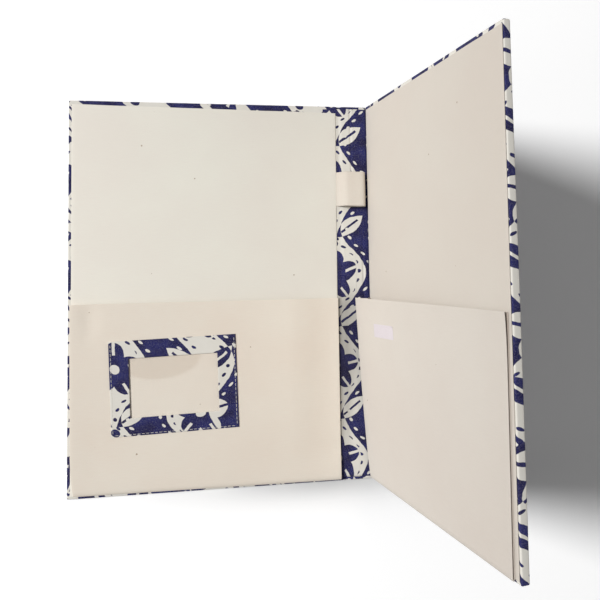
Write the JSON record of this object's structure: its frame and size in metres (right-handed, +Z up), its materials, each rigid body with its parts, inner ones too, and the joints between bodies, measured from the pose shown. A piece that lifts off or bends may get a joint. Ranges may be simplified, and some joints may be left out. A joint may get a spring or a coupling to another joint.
{
  "type": "file folder",
  "caption": "Cloth-covered A4 file folder that folds shut at its spine, with gusseted pockets inside the covers, a card frame and a pen loop.",
  "frame": {"origin": "middle of the spine's underside, on the surface that the folder lies on", "axes": "+Z up from that surface, +X across the spine towards the raised cover, +Y along the spine away from the pockets"},
  "size_m": [0.2877, 0.32, 0.2231],
  "materials": {
    "printed_cloth": "matte",
    "cream_cloth": "matte",
    "greyboard": "matte",
    "clear_film": "gloss",
    "thread": "matte",
    "label_paper": "satin"
  },
  "bodies": {
    "left_cover": {"left_board": "greyboard", "left_cover_cloth": "printed_cloth", "left_hinge_cloth": "printed_cloth", "left_hinge_lining": "printed_cloth", "left_liner": "cream_cloth", "pen_loop_tab": "cream_cloth", "left_pocket_front": "cream_cloth", "left_pocket_outer_gusset": "cream_cloth", "left_pocket_spine_gusset": "cream_cloth", "left_pocket_foot_fold": "cream_cloth", "card_frame": "printed_cloth", "card_window_film": "clear_film", "card_frame_stitching": "thread"},
    "spine": {"spine_board": "greyboard", "spine_cloth": "printed_cloth", "spine_lining": "printed_cloth", "right_hinge_cloth": "printed_cloth", "pen_loop": "cream_cloth"},
    "right_cover": {"right_board": "greyboard", "right_cover_cloth": "printed_cloth", "right_hinge_lining": "printed_cloth", "right_liner": "cream_cloth", "right_pocket_front": "cream_cloth", "right_pocket_outer_gusset": "cream_cloth", "right_pocket_spine_gusset": "cream_cloth", "right_pocket_foot_fold": "cream_cloth", "blank_label": "label_paper"}
  },
  "joints": [
    {"name": "left_hinge", "type": "hinge", "parent": "left_cover", "child": "spine", "pos_m": [-0.01275, 0, 0.0021], "axis": [0, -1, 0], "range_deg": [0, 90], "deforming": ["left_hinge_cloth", "left_hinge_lining", "pen_loop_tab"]},
    {"name": "right_hinge", "type": "hinge", "parent": "spine", "child": "right_cover", "pos_m": [0.01275, 0, 0.0021], "axis": [0, -1, 0], "range_deg": [-80.6, 9.4], "deforming": ["right_hinge_cloth", "right_hinge_lining"]}
  ]
}
